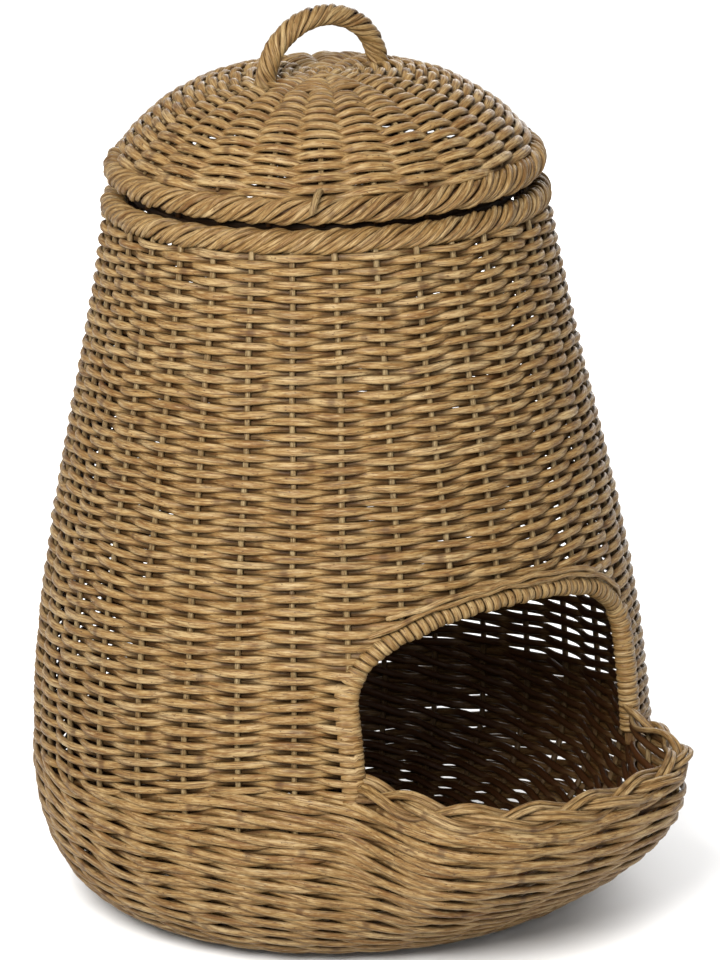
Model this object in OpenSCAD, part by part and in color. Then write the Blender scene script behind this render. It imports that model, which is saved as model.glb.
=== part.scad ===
// Wicker pet basket: a round woven body with a doorway and a bulging lip, and a domed lid
// that lifts off. Millimetres, +Z up, the doorway faces -Y, the flat base rests on Z = 0.

/* [Body] */
// Radius of the flat woven base
base_radius = 130; // [120:1:150]
// Outside radius at the belly, the widest row
belly_radius = 226; // [215:1:235]
// Height of the belly, where the waled band ends and the plain weave starts
belly_height = 120; // [110:1:130]
// Outside radius of the weave under the rope rim
neck_radius = 161; // [155:1:170]
// Height of the top row of the plain weave
neck_height = 507; // [495:1:520]
// Thickness of the weave, from the outside of one weaver to the inside of the next
weave_thickness = 13; // [10:0.5:15]
// Number of upright stakes round the body
stake_count = 34; // [26:2:40]
// Turn of the stakes from an even spread about the middle of the doorway
stake_turn = 2.5; // [0:0.5:4]
// Radius of one stake
stake_radius = 2.5; // [2:0.25:3.5]

/* [Doorway] */
// Half of the doorway's width, to the middle of its bent rod
door_half_width = 122; // [105:1:125]
// Height where the rod's straight legs end and the arch starts
door_spring_height = 200; // [185:1:210]
// Height of the middle of the rod at the top of the arch
door_top_height = 263; // [255:1:280]
// Radius of the bent rod
door_rod_radius = 4.5; // [3:0.25:5]
// Radius over the cane wrapped round the rod
door_wrap_radius = 7.5; // [6.5:0.25:9]

/* [Lip] */
// How far the lip bulges out beyond the belly
lip_reach = 71; // [50:1:75]
// Angle either side of the front where the bulge has fallen to about a third
lip_spread = 28; // [26:0.5:29]
// Height of the plaited border at the front of the lip
lip_height = 133; // [130:1:140]
// How much higher the plait climbs on its way to the doorway's legs
lip_climb = 20; // [10:1:24]
// Radius of the plaited border
lip_braid_radius = 9.5; // [8:0.25:10]

/* [Rim] */
// Radius of the ring along the middle of the body's twisted rope
rim_ring_radius = 151; // [149:0.5:153]
// Height of the middle of the body's twisted rope
rim_height = 514; // [512:0.5:516]
// Radius of the body's twisted rope
rim_rope_radius = 9; // [8:0.25:9]

/* [Lid] */
// Radius of the ring along the middle of the lid's twisted rope
lid_ring_radius = 147.5; // [146:0.5:149]
// Height of the middle of the lid's twisted rope
lid_height = 540; // [538:0.5:542]
// Radius of the lid's twisted rope
lid_rope_radius = 9.5; // [8.5:0.25:10]
// Height of the top of the dome
dome_height = 608; // [600:1:615]
// Thickness of the lid's weave
lid_thickness = 12; // [10:0.5:14]
// Number of spokes in the lid
spoke_count = 24; // [20:2:28]
// Radius of one lid spoke
spoke_radius = 2.5; // [2:0.25:3]

/* [Handle] */
// Half of the distance between the middles of the handle's feet
handle_half_span = 49; // [45:1:58]
// Height of the middle of the handle at its top
handle_top_height = 644; // [640:1:655]
// Radius of the bent rod inside the handle
handle_core_radius = 5; // [4:0.25:6]
// Radius over the cane wrapped round the handle
handle_wrap_radius = 8.25; // [7:0.25:9.5]

/* [Hidden] */

$fn = 96;
tube_sides = 8;
wale_steps = 6;            // steps up each of the two bands of the waled bowl
wall_steps = 10;           // steps up each of the two bands of the plain wall
wale_split = 0.5;          // where one band of the bowl ends and the next starts
wale_turn = 5;             // angle between the sections of the waled bowl
lip_wale_angle = 35;       // angle from the front where the lip's part of the wale ends
bowl_power = 0.8;          // 1 would make the bowl's corner an ellipse, less makes it squarer
neck_lean = 58;            // how fast the wall still narrows where it meets the rim
belly_lean = 5;            // how fast it starts to narrow above the belly
arch_power = 2.35;         // squareness of the doorway's arch
handle_power = 2;          // squareness of the handle's arch
dome_power = 3.3;          // flatness of the lid's dome
dome_edge_drop = 58;       // fall of the dome from its top to its edge
dome_edge_radius = 151;
bulge_power = 6.5;         // flatness of the lip across its front
bulge_rise = 2.3;          // how low on the bowl the bulge starts
half_weave = weave_thickness / 2;
stake_step = 360 / stake_count;
spoke_step = 360 / spoke_count;
door_rod_foot = belly_height - 6;
wrap_foot = belly_height + 4;
rounds_height = door_top_height + door_wrap_radius + 1;   // where the full rounds start
lip_half_angle = 32;
plait_overlap = 5;         // how far the lip's rows stop below the middle of the plait
plait_spread = 33;         // angle from the front over which the plait climbs
slath_gap = 4;             // between a slath and the weave round it
stick_end_gap = 11;        // between the base sticks' ends and the base's edge
slath_rod_radius = 3;
base_slath_sticks = 9;
lid_slath_rod_radius = 2.5;
lid_slath_sticks = 6;
slath_half = base_slath_sticks * slath_rod_radius;
lid_slath_half = lid_slath_sticks * lid_slath_rod_radius;
handle_foot_height = 586;
handle_spring_height = 602;
tail_radius = 2.4;
tail_ring_radius = 143.5;
clearance = 0.4;

cane = [0.72, 0.56, 0.32];
cane_dark = [0.55, 0.40, 0.22];
cane_light = [0.80, 0.66, 0.42];

function unit(v) = v / norm(v);
function polar(r, angle, z) = [r * sin(angle), -r * cos(angle), z];
function sideways(angle) = [cos(angle), sin(angle), 0];

// The body's outline as [radius, height]: s runs 0 to 1 up the bowl and 1 to 2 up the wall
function bowl_point(s) = [
    base_radius + (belly_radius - base_radius) * pow(sin(90 * s), bowl_power),
    belly_height * (1 - pow(cos(90 * s), bowl_power))
];
function wall_radius(t) =
    (2 * pow(t, 3) - 3 * pow(t, 2) + 1) * belly_radius
    + (3 * pow(t, 2) - 2 * pow(t, 3)) * neck_radius
    - (pow(t, 3) - 2 * pow(t, 2) + t) * belly_lean
    - (pow(t, 3) - pow(t, 2)) * neck_lean;
function outline(s) = s < 1 ? bowl_point(s)
    : [wall_radius(s - 1), belly_height + (s - 1) * (neck_height - belly_height)];
function outline_slope(s) = unit(outline(min(2, s + 0.004)) - outline(max(0, s - 0.004)));
function inset(s, depth) =
    let (slope = outline_slope(s)) outline(s) + depth * [-slope[1], slope[0]];
function height_to_s(z) = 1 + (z - belly_height) / (neck_height - belly_height);
rounds_s = height_to_s(rounds_height);

// How far the lip adds to the radius at a height and at an angle from the front
function bulge(angle, z) =
    lip_reach * exp(-pow(abs(angle) / lip_spread, bulge_power))
    * pow(1 - pow(1 - min(1, z / lip_height), bulge_rise), bulge_rise);
function body_point(angle, s, depth) =
    let (p = inset(s, depth), swell = s <= 1 ? bulge(angle, outline(s)[1]) : 0)
        polar(p[0] + swell, angle, p[1]);

// Height of the middle of the lip's plait at an angle from the front
function plait_height(angle) =
    lip_height + lip_climb * (1 - exp(-pow(angle / plait_spread, 2)));
function stake_angle(index) = (index + 0.5) * stake_step + stake_turn;
function is_doorway(angle) = cos(angle) > 0
    && abs(sin(angle)) * (belly_radius - half_weave) < door_half_width;

// Skins a list of sections, all with the same number of points
module skin(sections, closed = false) {
    rows = len(sections);
    count = len(sections[0]);
    polyhedron(
        points = [for (section = sections) each section],
        faces = [
            for (i = [0 : rows - (closed ? 1 : 2)], j = [0 : count - 1])
                let (a = i * count, b = (i + 1) % rows * count, k = (j + 1) % count)
                    each [[a + j, b + j, b + k], [a + j, b + k, a + k]],
            if (!closed) [for (j = [0 : count - 1]) j],
            if (!closed) [for (j = [count - 1 : -1 : 0]) (rows - 1) * count + j]
        ]
    );
}

function tangent(path, i) = unit(path[min(len(path) - 1, i + 1)] - path[max(0, i - 1)]);
function ring_point(path, sides, i, radius, angle) =
    let (across = unit(sides[i] - (sides[i] * tangent(path, i)) * tangent(path, i)))
        path[i] + radius * (cos(angle) * across
            + sin(angle) * cross(tangent(path, i), across));

// A round rod along a path; sides holds one direction across the path at each point
module rod(path, sides, radius) {
    skin([for (i = [0 : len(path) - 1])
        [for (j = [tube_sides - 1 : -1 : 0])
            ring_point(path, sides, i, radius, j * 360 / tube_sides)]]);
}

// A sleeve round the same kind of path
module sleeve(path, sides, outer, inner) {
    count = 12;
    last = len(path) - 1;
    skin([for (j = [0 : count - 1])
        [for (i = [0 : last]) ring_point(path, sides, i, outer, j * 360 / count),
         for (i = [last : -1 : 0]) ring_point(path, sides, i, inner, j * 360 / count)]],
        closed = true);
}

module ring(ring_radius, height, radius) {
    rotate_extrude() translate([ring_radius, height]) circle(r = radius, $fn = 32);
}

// Two crossing layers of sticks that start a woven disc
module slath(sticks, radius, half_length) {
    for (layer = [0, 1], i = [0 : sticks - 1 - layer])
        rotate([0, 0, 90 * layer])
            translate([-half_length, (i - (sticks - 1 - layer) / 2) * 2 * radius,
                       radius + layer * 2 * radius])
                rotate([0, 90, 0]) cylinder(r = radius - 0.01, h = 2 * half_length, $fn = 24);
}

// ---------- body ----------

module base_weave() {
    color(cane)
        difference() {
            cylinder(r = base_radius, h = weave_thickness);
            translate([0, 0, -1]) cylinder(r = slath_half + slath_gap, h = weave_thickness + 2);
        }
}

module base_slath() {
    color(cane_dark) slath(base_slath_sticks, slath_rod_radius, slath_half);
}

module base_sticks() {
    start = slath_half * sqrt(2) + slath_gap;
    color(cane_dark)
        for (i = [0 : stake_count - 1])
            rotate([0, 0, stake_angle(i)])
                translate([0, -start, half_weave]) rotate([90, 0, 0])
                    cylinder(r = stake_radius, h = base_radius - stick_end_gap - start, $fn = 24);
}

// A band of the bowl between two values of s, with a section at each of the angles
module wale(low, high, angles, closed = false) {
    levels = [for (i = [0 : wale_steps]) low + (high - low) * i / wale_steps];
    color(cane)
        skin([for (angle = angles)
            let (a = angle > 180 ? angle - 360 : angle)
                [for (s = levels) body_point(a, s, 0),
                 for (i = [wale_steps : -1 : 0]) body_point(a, levels[i], weave_thickness)]],
            closed);
}
module lower_wale() { wale(0, wale_split, [0 : wale_turn : 360 - wale_turn], closed = true); }
module upper_wale() { wale(wale_split, 1, [lip_wale_angle : wale_turn : 360 - lip_wale_angle]); }
module lip_wale() { wale(wale_split, 1, [-lip_wale_angle : wale_turn / 2 : lip_wale_angle]); }

function arch_half_width(z) = z <= door_spring_height ? door_half_width
    : door_half_width * pow(max(0, 1 - pow((z - door_spring_height)
        / (door_top_height - door_spring_height), arch_power)), 1 / arch_power);
function arch_point(t) = let (rise = door_top_height - door_spring_height) [
    door_half_width * sign(cos(t)) * pow(abs(cos(t)), 2 / arch_power),
    door_spring_height + rise * pow(sin(t), 2 / arch_power)
];
arch_outline = [for (t = [0 : 7.5 : 180]) arch_point(t)];

// A ring of the plain wall between two values of s
module wall_ring(low, high) {
    levels = [for (i = [0 : wall_steps]) low + (high - low) * i / wall_steps];
    rotate_extrude()
        polygon([for (s = levels) outline(s),
                 for (i = [wall_steps : -1 : 0])
                     [inset(levels[i], weave_thickness)[0], outline(levels[i])[1]]]);
}

// The rows that turn back at the doorway's legs, up to just over its arch
module lower_wall() {
    color(cane)
        difference() {
            wall_ring(1, rounds_s);
            rotate([90, 0, 0])
                linear_extrude(height = 2 * belly_radius)
                    polygon([[door_half_width, belly_height - 1], each arch_outline,
                             [-door_half_width, belly_height - 1]]);
        }
}

// The full rounds above the doorway
module upper_wall() {
    color(cane) wall_ring(rounds_s, 2);
}

// A stake in the middle of the weave, from s = low up into the rope rim
module stake(angle, low, steps) {
    rod([for (i = [0 : steps]) body_point(angle, low + (2 - low) * i / steps, half_weave),
         polar(rim_ring_radius, angle, rim_height)],
        [for (i = [0 : steps + 1]) sideways(angle)], stake_radius);
}

module wall_stakes() {
    color(cane_light)
        for (i = [0 : stake_count - 1])
            if (!is_doorway(stake_angle(i))) {
                a = stake_angle(i) > 180 ? stake_angle(i) - 360 : stake_angle(i);
                stake(a, 0.03, 13);
            }
}

module header_stakes() {
    color(cane_light)
        for (i = [-3 : 2]) {
            a = stake_angle(i);
            x = abs(sin(a)) * inset(height_to_s(door_top_height), half_weave)[0];
            foot = door_spring_height + (door_top_height - door_spring_height)
                * pow(1 - pow(x / door_half_width, arch_power), 1 / arch_power);
            stake(a, height_to_s(foot), 8);
        }
}

// The arch's rod follows the middle of the weave
function on_wall(p) =
    let (r = inset(height_to_s(max(belly_height, p[1])), half_weave)[0])
        [p[0], -sqrt(r * r - p[0] * p[0]), p[1]];
function arch_path(foot) =
    let (leg = [for (k = [0 : 2]) foot + (door_spring_height - foot) * k / 3]) [
        for (z = leg) on_wall([door_half_width, z]),
        for (p = arch_outline) on_wall(p),
        for (k = [2 : -1 : 0]) on_wall([-door_half_width, leg[k]])
    ];
function arch_sides(path) = [for (p = path) unit([p[0], p[1], 0])];

module arch_rod() {
    path = arch_path(door_rod_foot);
    color(cane_dark) rod(path, arch_sides(path), door_rod_radius);
}

module arch_wrap() {
    path = arch_path(wrap_foot);
    color(cane) sleeve(path, arch_sides(path), door_wrap_radius, door_rod_radius);
}

// ---------- lip ----------

module lip_rows() {
    color(cane)
        skin([for (a = [-lip_half_angle : 4 : lip_half_angle])
            let (out = belly_radius + bulge(a, lip_height),
                 top = plait_height(a) - plait_overlap)
                [polar(out, a, belly_height), polar(out, a, top),
                 polar(out - weave_thickness, a, top),
                 polar(out - weave_thickness, a, belly_height)]]);
}

module lip_stakes() {
    color(cane_light)
        for (i = [-3 : 2]) {
            a = stake_angle(i);
            rod([for (k = [0 : 12]) body_point(a, 0.03 + 0.97 * k / 12, half_weave),
                 polar(belly_radius + bulge(a, lip_height) - half_weave, a, plait_height(a))],
                [for (k = [0 : 13]) sideways(a)], stake_radius);
        }
}

module lip_braid() {
    angles = [-lip_half_angle : 4 : lip_half_angle];
    color(cane_light)
        rod([for (a = angles)
                polar(belly_radius + bulge(a, lip_height) - half_weave, a, plait_height(a))],
            [for (a = angles) [0, 0, 1]], lip_braid_radius);
}

module rim_rope() {
    color(cane_light) ring(rim_ring_radius, rim_height, rim_rope_radius);
}

// ---------- lid ----------

function dome(r) = dome_height - dome_edge_drop * pow(r / dome_edge_radius, dome_power);
function dome_inset(r, depth) =
    let (slope = unit([2, dome(r + 1) - dome(r - 1)])) [r, dome(r)] + depth * [slope[1], -slope[0]];
dome_start = lid_slath_half + slath_gap;
spoke_start = 22;
dome_end = 148;            // under the outer side of the lid's rope
dome_steps = 10;
// Radii that lie closer together towards the edge, where the dome bends most
dome_radii = [for (i = [0 : dome_steps])
    dome_start + (dome_end - dome_start) * pow(sin(90 * i / dome_steps), 0.9)];

module lid_weave() {
    color(cane)
        rotate_extrude()
            polygon([for (r = dome_radii) [r, dome(r)],
                     for (i = [dome_steps : -1 : 1]) dome_inset(dome_radii[i], lid_thickness),
                     [dome_radii[0], dome(dome_radii[0]) - lid_thickness]]);
}

module lid_slath() {
    color(cane_dark)
        translate([0, 0, dome_height - 4 * lid_slath_rod_radius - 1])
            slath(lid_slath_sticks + 1, lid_slath_rod_radius, lid_slath_half + 1);
}

module lid_spokes() {
    steps = 8;
    radii = [for (i = [0 : steps])
        spoke_start + (lid_ring_radius - 1.5 - spoke_start) * pow(sin(90 * i / steps), 0.9)];
    color(cane_light)
        for (i = [0 : spoke_count - 1]) {
            a = (i + 0.5) * spoke_step;
            rod([for (r = radii) let (p = dome_inset(r, lid_thickness / 2)) polar(p[0], a, p[1])],
                [for (r = radii) sideways(a)], spoke_radius);
        }
}

// The cut ends of the spokes below the rope: the lid stands on them
module lid_spoke_tails() {
    gap = rim_ring_radius - tail_ring_radius - tail_radius;
    foot = rim_height + sqrt(pow(rim_rope_radius, 2) - gap * gap) + clearance;
    color(cane_light)
        for (i = [0 : spoke_count - 1])
            rotate([0, 0, (i + 0.5) * spoke_step])
                translate([0, -tail_ring_radius, foot])
                    cylinder(r = tail_radius, h = lid_height - 3 - foot, $fn = 24);
}

module lid_rope() {
    color(cane_light) ring(lid_ring_radius, lid_height, lid_rope_radius);
}

// ---------- handle ----------

function handle_point(t) = [
    handle_half_span * sign(cos(t)) * pow(abs(cos(t)), 2 / handle_power), 0,
    handle_spring_height
        + (handle_top_height - handle_spring_height) * pow(sin(t), 2 / handle_power)
];
function handle_path(foot) = [
    [handle_half_span, 0, foot], for (t = [0 : 7.5 : 180]) handle_point(t),
    [-handle_half_span, 0, foot]
];

module handle_core() {
    path = handle_path(handle_foot_height);
    color(cane_dark) rod(path, [for (p = path) [0, 1, 0]], handle_core_radius);
}

module handle_wrap() {
    path = handle_path(handle_spring_height - 6);
    color(cane) sleeve(path, [for (p = path) [0, 1, 0]], handle_wrap_radius, handle_core_radius);
}

base_weave();
base_slath();
base_sticks();
lower_wale();
upper_wale();
lip_wale();
lower_wall();
upper_wall();
wall_stakes();
header_stakes();
arch_rod();
arch_wrap();
lip_rows();
lip_stakes();
lip_braid();
rim_rope();
lid_weave();
lid_slath();
lid_spokes();
lid_spoke_tails();
lid_rope();
handle_core();
handle_wrap();
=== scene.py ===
"""Looks of the round woven pet basket. Every cane is swept along its own path through the weave.
Metres and degrees; angles run from the front, -Y, towards +X."""

import bpy
import numpy as np
from mathutils import Matrix, Vector


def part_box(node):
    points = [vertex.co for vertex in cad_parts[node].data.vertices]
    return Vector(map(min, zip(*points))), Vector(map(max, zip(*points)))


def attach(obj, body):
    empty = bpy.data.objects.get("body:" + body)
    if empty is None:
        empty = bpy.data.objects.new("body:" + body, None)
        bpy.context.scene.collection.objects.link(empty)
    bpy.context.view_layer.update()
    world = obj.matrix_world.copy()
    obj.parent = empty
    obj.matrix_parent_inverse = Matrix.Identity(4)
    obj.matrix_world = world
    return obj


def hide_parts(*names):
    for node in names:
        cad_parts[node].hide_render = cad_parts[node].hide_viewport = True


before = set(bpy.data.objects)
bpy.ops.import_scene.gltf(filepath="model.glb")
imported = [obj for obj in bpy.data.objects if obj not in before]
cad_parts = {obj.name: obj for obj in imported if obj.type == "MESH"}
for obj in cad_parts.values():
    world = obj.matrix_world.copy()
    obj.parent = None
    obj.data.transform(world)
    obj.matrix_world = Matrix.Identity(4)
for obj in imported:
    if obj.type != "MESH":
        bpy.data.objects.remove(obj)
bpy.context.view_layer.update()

# ---------- sizes read from the frame ----------


def half(node, axis):
    low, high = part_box(node)
    return (high[axis] - low[axis]) / 2


def middle(node, axis):
    low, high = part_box(node)
    return (high[axis] + low[axis]) / 2


WEAVE_THICKNESS = 2 * half("base_weave", 2)
HALF_WEAVE = WEAVE_THICKNESS / 2
BASE_RADIUS = half("base_weave", 1)
BELLY_RADIUS = half("lower_wall", 0)
BELLY_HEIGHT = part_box("lower_wall")[0].z
NECK_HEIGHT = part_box("upper_wall")[1].z
ROUNDS_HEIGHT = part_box("upper_wall")[0].z
RIM_ROPE_RADIUS = half("rim_rope", 2)
RIM_RING_RADIUS = half("rim_rope", 0) - RIM_ROPE_RADIUS
RIM_HEIGHT = middle("rim_rope", 2)
LID_ROPE_RADIUS = half("lid_rope", 2)
LID_RING_RADIUS = half("lid_rope", 0) - LID_ROPE_RADIUS
LID_HEIGHT = middle("lid_rope", 2)
DOME_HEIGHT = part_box("lid_weave")[1].z
HANDLE_RADIUS = half("handle_wrap", 1)
HANDLE_CORE_RADIUS = half("handle_core", 1)
HANDLE_HALF_SPAN = half("handle_wrap", 0) - HANDLE_RADIUS
HANDLE_TOP_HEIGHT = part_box("handle_wrap")[1].z - HANDLE_RADIUS

# ---------- shape of the weave, as in the CAD part ----------

NECK_RADIUS = 0.161
NECK_LEAN = 0.058
BELLY_LEAN = 0.005
BOWL_POWER = 0.8
STAKES = 34
STAKE_STEP = 360 / STAKES
STAKE_TURN = 2.5
ROD_RADIUS = 0.0045
DOOR_HALF_WIDTH = half("arch_rod", 0) - ROD_RADIUS
DOOR_TOP_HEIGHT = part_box("arch_rod")[1].z - ROD_RADIUS
DOOR_SPRING_HEIGHT = DOOR_TOP_HEIGHT - 0.063
ARCH_POWER = 2.2
LIP_REACH = 0.071
LIP_SPREAD = 28
LIP_HEIGHT = 0.133
LIP_CLIMB = 0.020
PLAIT_SPREAD = 33
LIP_HALF_ANGLE = 32
BULGE_POWER = 6.5
BULGE_RISE = 2.3
DOME_POWER = 3.3
DOME_EDGE_DROP = 0.058
DOME_EDGE_RADIUS = 0.151
LID_THICKNESS = 0.012
SPOKES = 24
SPOKE_STEP = 360 / SPOKES
HANDLE_SPRING_HEIGHT = 0.602
HANDLE_FOOT_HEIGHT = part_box("handle_core")[0].z

# ---------- canes ----------

SIDES = 8  # of a cane's section
GRAIN_RADIUS = 0.0025  # radius at which the material's pattern is wrapped round a cane
WEAVER_TALL = 0.00273  # half the height of a weaver's oval section where it passes between stakes
WEAVER_DEEP = 0.0022  # half its depth, across the wall
WEAVER_SPREAD = 0.15  # how much taller it is over a stake
STAKE_RADIUS = 0.0023
WALL_WAVE = 0.0037  # how far a weaver swings out of the wall's middle and back into it
ROW_PITCH = 0.00487
FIRST_ROW = BELLY_HEIGHT + 0.003
ROW_SAMPLES = 8  # points along a weaver for each stake
WANDER_ROWS = 79  # number of rows that the wall's unevenness is scaled to
JAMB_ANGLE = 34  # where the doorway's side is, seen from the basket's middle
RISING_ROWS_TOP = 0.24  # lower rows rise beside the doorway and end at the height they have there
WALE_ROWS = 16
WALE_SAMPLES = 6
PACKING_START = 35
PACKING_END = 245
WALE_CLIMB = 0.020  # how much the waled part rises on both sides of the doorway
BACK = STAKES / 2  # rounds start at the stake that faces away from the doorway
STAKE_START = 0.03  # how far up the bowl the stakes start, 0 at the floor and 1 at the belly

HOOK_REACH = 0.0052  # from the rod's middle to the middle of a row hooked round it
HOOK_HEIGHT = 0.228  # below it the rows hook round the doorway's rod, above it the rod is wrapped
WRAP_GAP = 0.004  # room that rows leave beside the wrapped rod
BEHIND_SHADE = 0.68  # painted shade: how dark a cane gets where it passes behind a stake
INSIDE_SHADE = 0.66  # painted shade: how dark its side towards the inside of the basket is
LIP_INSIDE_SHADE = 0.25  # the same painted shade in the lip, kept lighter there because light reaches it
EDGE_SHADE = 0.36  # painted shade: how dark the sides are that face the next cane

LID_LEAN = 2.0  # the lid sits a little lower on one side
LID_LOW_SIDE = -36.5
UP = np.array([0, 0, 1.0])
FLAT = np.array([1, 1, 0])  # leaves the height out

S_STEP = 0.004  # small steps for slopes
ANGLE_STEP = 0.1

random = np.random.default_rng(34)


def unit(v):
    return v / np.maximum(np.linalg.norm(v, axis=-1, keepdims=True), 1e-12)


def smooth(low, high, x):
    t = np.clip((x - low) / (high - low), 0, 1)
    return t * t * (3 - 2 * t)


def sind(a):
    return np.sin(np.radians(a))


def cosd(a):
    return np.cos(np.radians(a))


def polar(radius, angle, height):
    radius, angle, height = np.broadcast_arrays(radius, angle, height)
    return np.stack([radius * sind(angle), -radius * cosd(angle), height], -1)


def signed(angle):
    return (np.asarray(angle) + 180) % 360 - 180


def run_along(line):
    """Distance of each point from the start of the line."""
    return np.concatenate([[0], np.cumsum(np.linalg.norm(np.diff(line, axis=0), axis=1))])


def between(line, run, place):
    """Points at the given distances along a line."""
    return np.stack([np.interp(place, run, line[:, axis]) for axis in range(3)], -1)


def outline(s):
    """Radius and height of the body's outline: s is 0 to 1 up the bowl and 1 to 2 up the wall."""
    turn = np.clip(s, 0, 1) * 90
    t = np.clip(s - 1, 0, 1)
    bowl_r = BASE_RADIUS + (BELLY_RADIUS - BASE_RADIUS) * np.maximum(sind(turn), 0) ** BOWL_POWER
    bowl_z = BELLY_HEIGHT * (1 - np.maximum(cosd(turn), 0) ** BOWL_POWER)
    wall_r = ((2 * t**3 - 3 * t**2 + 1) * BELLY_RADIUS + (3 * t**2 - 2 * t**3) * NECK_RADIUS
              - (t**3 - 2 * t**2 + t) * BELLY_LEAN - (t**3 - t**2) * NECK_LEAN)
    wall_z = BELLY_HEIGHT + t * (NECK_HEIGHT - BELLY_HEIGHT)
    return np.stack([np.where(s < 1, bowl_r, wall_r), np.where(s < 1, bowl_z, wall_z)], -1)


def inset(s, depth):
    """The outline moved inwards by depth."""
    slope = unit(outline(np.minimum(s + S_STEP, 2)) - outline(np.maximum(s - S_STEP, 0)))
    return outline(s) + depth * np.stack([-slope[..., 1], slope[..., 0]], -1)


def bulge(angle, z):
    """How far the lip stands out of the round body."""
    rise = 1 - (1 - np.minimum(1, z / LIP_HEIGHT)) ** BULGE_RISE
    return LIP_REACH * np.exp(-(np.abs(signed(angle)) / LIP_SPREAD) ** BULGE_POWER) * rise**BULGE_RISE


def height_to_s(z):
    return 1 + (z - BELLY_HEIGHT) / (NECK_HEIGHT - BELLY_HEIGHT)


def wall_middle(angle, s, lip):
    """The surface that runs through the middle of the weave, with the lip's swell or without it."""
    place = inset(s, HALF_WEAVE)
    standing_out = bulge(angle, outline(s)[..., 1]) if lip else 0
    return polar(place[..., 0] + standing_out, angle, place[..., 1])


def wall_frame(angle, s, lip=False):
    """A point on the middle surface, with the directions out of the wall and up it."""
    angle, s = np.broadcast_arrays(np.asarray(angle, float), np.asarray(s, float))
    lowest, highest = (0, 1.2) if lip else (1, 2)
    up = unit(wall_middle(angle, np.minimum(s + S_STEP, highest), lip)
              - wall_middle(angle, np.maximum(s - S_STEP, lowest), lip))
    around = unit(wall_middle(angle + ANGLE_STEP, s, lip) - wall_middle(angle - ANGLE_STEP, s, lip))
    return wall_middle(angle, s, lip), unit(np.cross(around, up)), up


def stake_angle(index):
    return (index + 0.5) * STAKE_STEP + STAKE_TURN


def stake_count(angle):
    """The place of an angle among the stakes: the other way round from stake_angle."""
    return (angle - STAKE_TURN) / STAKE_STEP - 0.5


def arch_half_width(z):
    rise = np.clip((z - DOOR_SPRING_HEIGHT) / (DOOR_TOP_HEIGHT - DOOR_SPRING_HEIGHT), 0, 1)
    return DOOR_HALF_WIDTH * (1 - rise**ARCH_POWER) ** (1 / ARCH_POWER)


def arch_height(x):
    rise = (1 - (x / DOOR_HALF_WIDTH) ** ARCH_POWER) ** (1 / ARCH_POWER)
    return DOOR_SPRING_HEIGHT + (DOOR_TOP_HEIGHT - DOOR_SPRING_HEIGHT) * rise


def plait_height(angle):
    return LIP_HEIGHT + LIP_CLIMB * (1 - np.exp(-((signed(angle) / PLAIT_SPREAD) ** 2)))


def wobble(x, period, waves, fade):
    """A smooth random curve that repeats after period and swings by about 1."""
    total = np.zeros(len(x))
    weight = 0
    for wave in range(1, waves + 1):
        size = wave**-fade
        total += size * np.sin(2 * np.pi * wave * x / period + random.uniform(0, 2 * np.pi))
        weight += size**2 / 2
    return total / np.sqrt(weight)


def wandering(around, up, count=36):
    """A smooth random surface over shares of a round and of a height, for rows that wander together."""
    turns = random.integers(-around, around + 1, count)
    climbs = random.uniform(-up, up, count)
    phases = random.uniform(0, 2 * np.pi, count)

    def height(share, row):
        total = 0
        for turn, climb, phase in zip(turns, climbs, phases):
            total = total + np.sin(2 * np.pi * (turn * share + climb * row) + phase)
        return total / np.sqrt(count / 2)

    return height


def lean(points):
    """Turns points of the lid about its rope's middle, so that it comes down on its low side."""
    low = polar(1, LID_LOW_SIDE, 0)
    along = points @ low
    above = points[:, 2] - LID_HEIGHT
    moved = points + (along * (cosd(LID_LEAN) - 1) + above * sind(LID_LEAN))[:, None] * low
    moved[:, 2] = LID_HEIGHT + above * cosd(LID_LEAN) - along * sind(LID_LEAN)
    return moved


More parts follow.
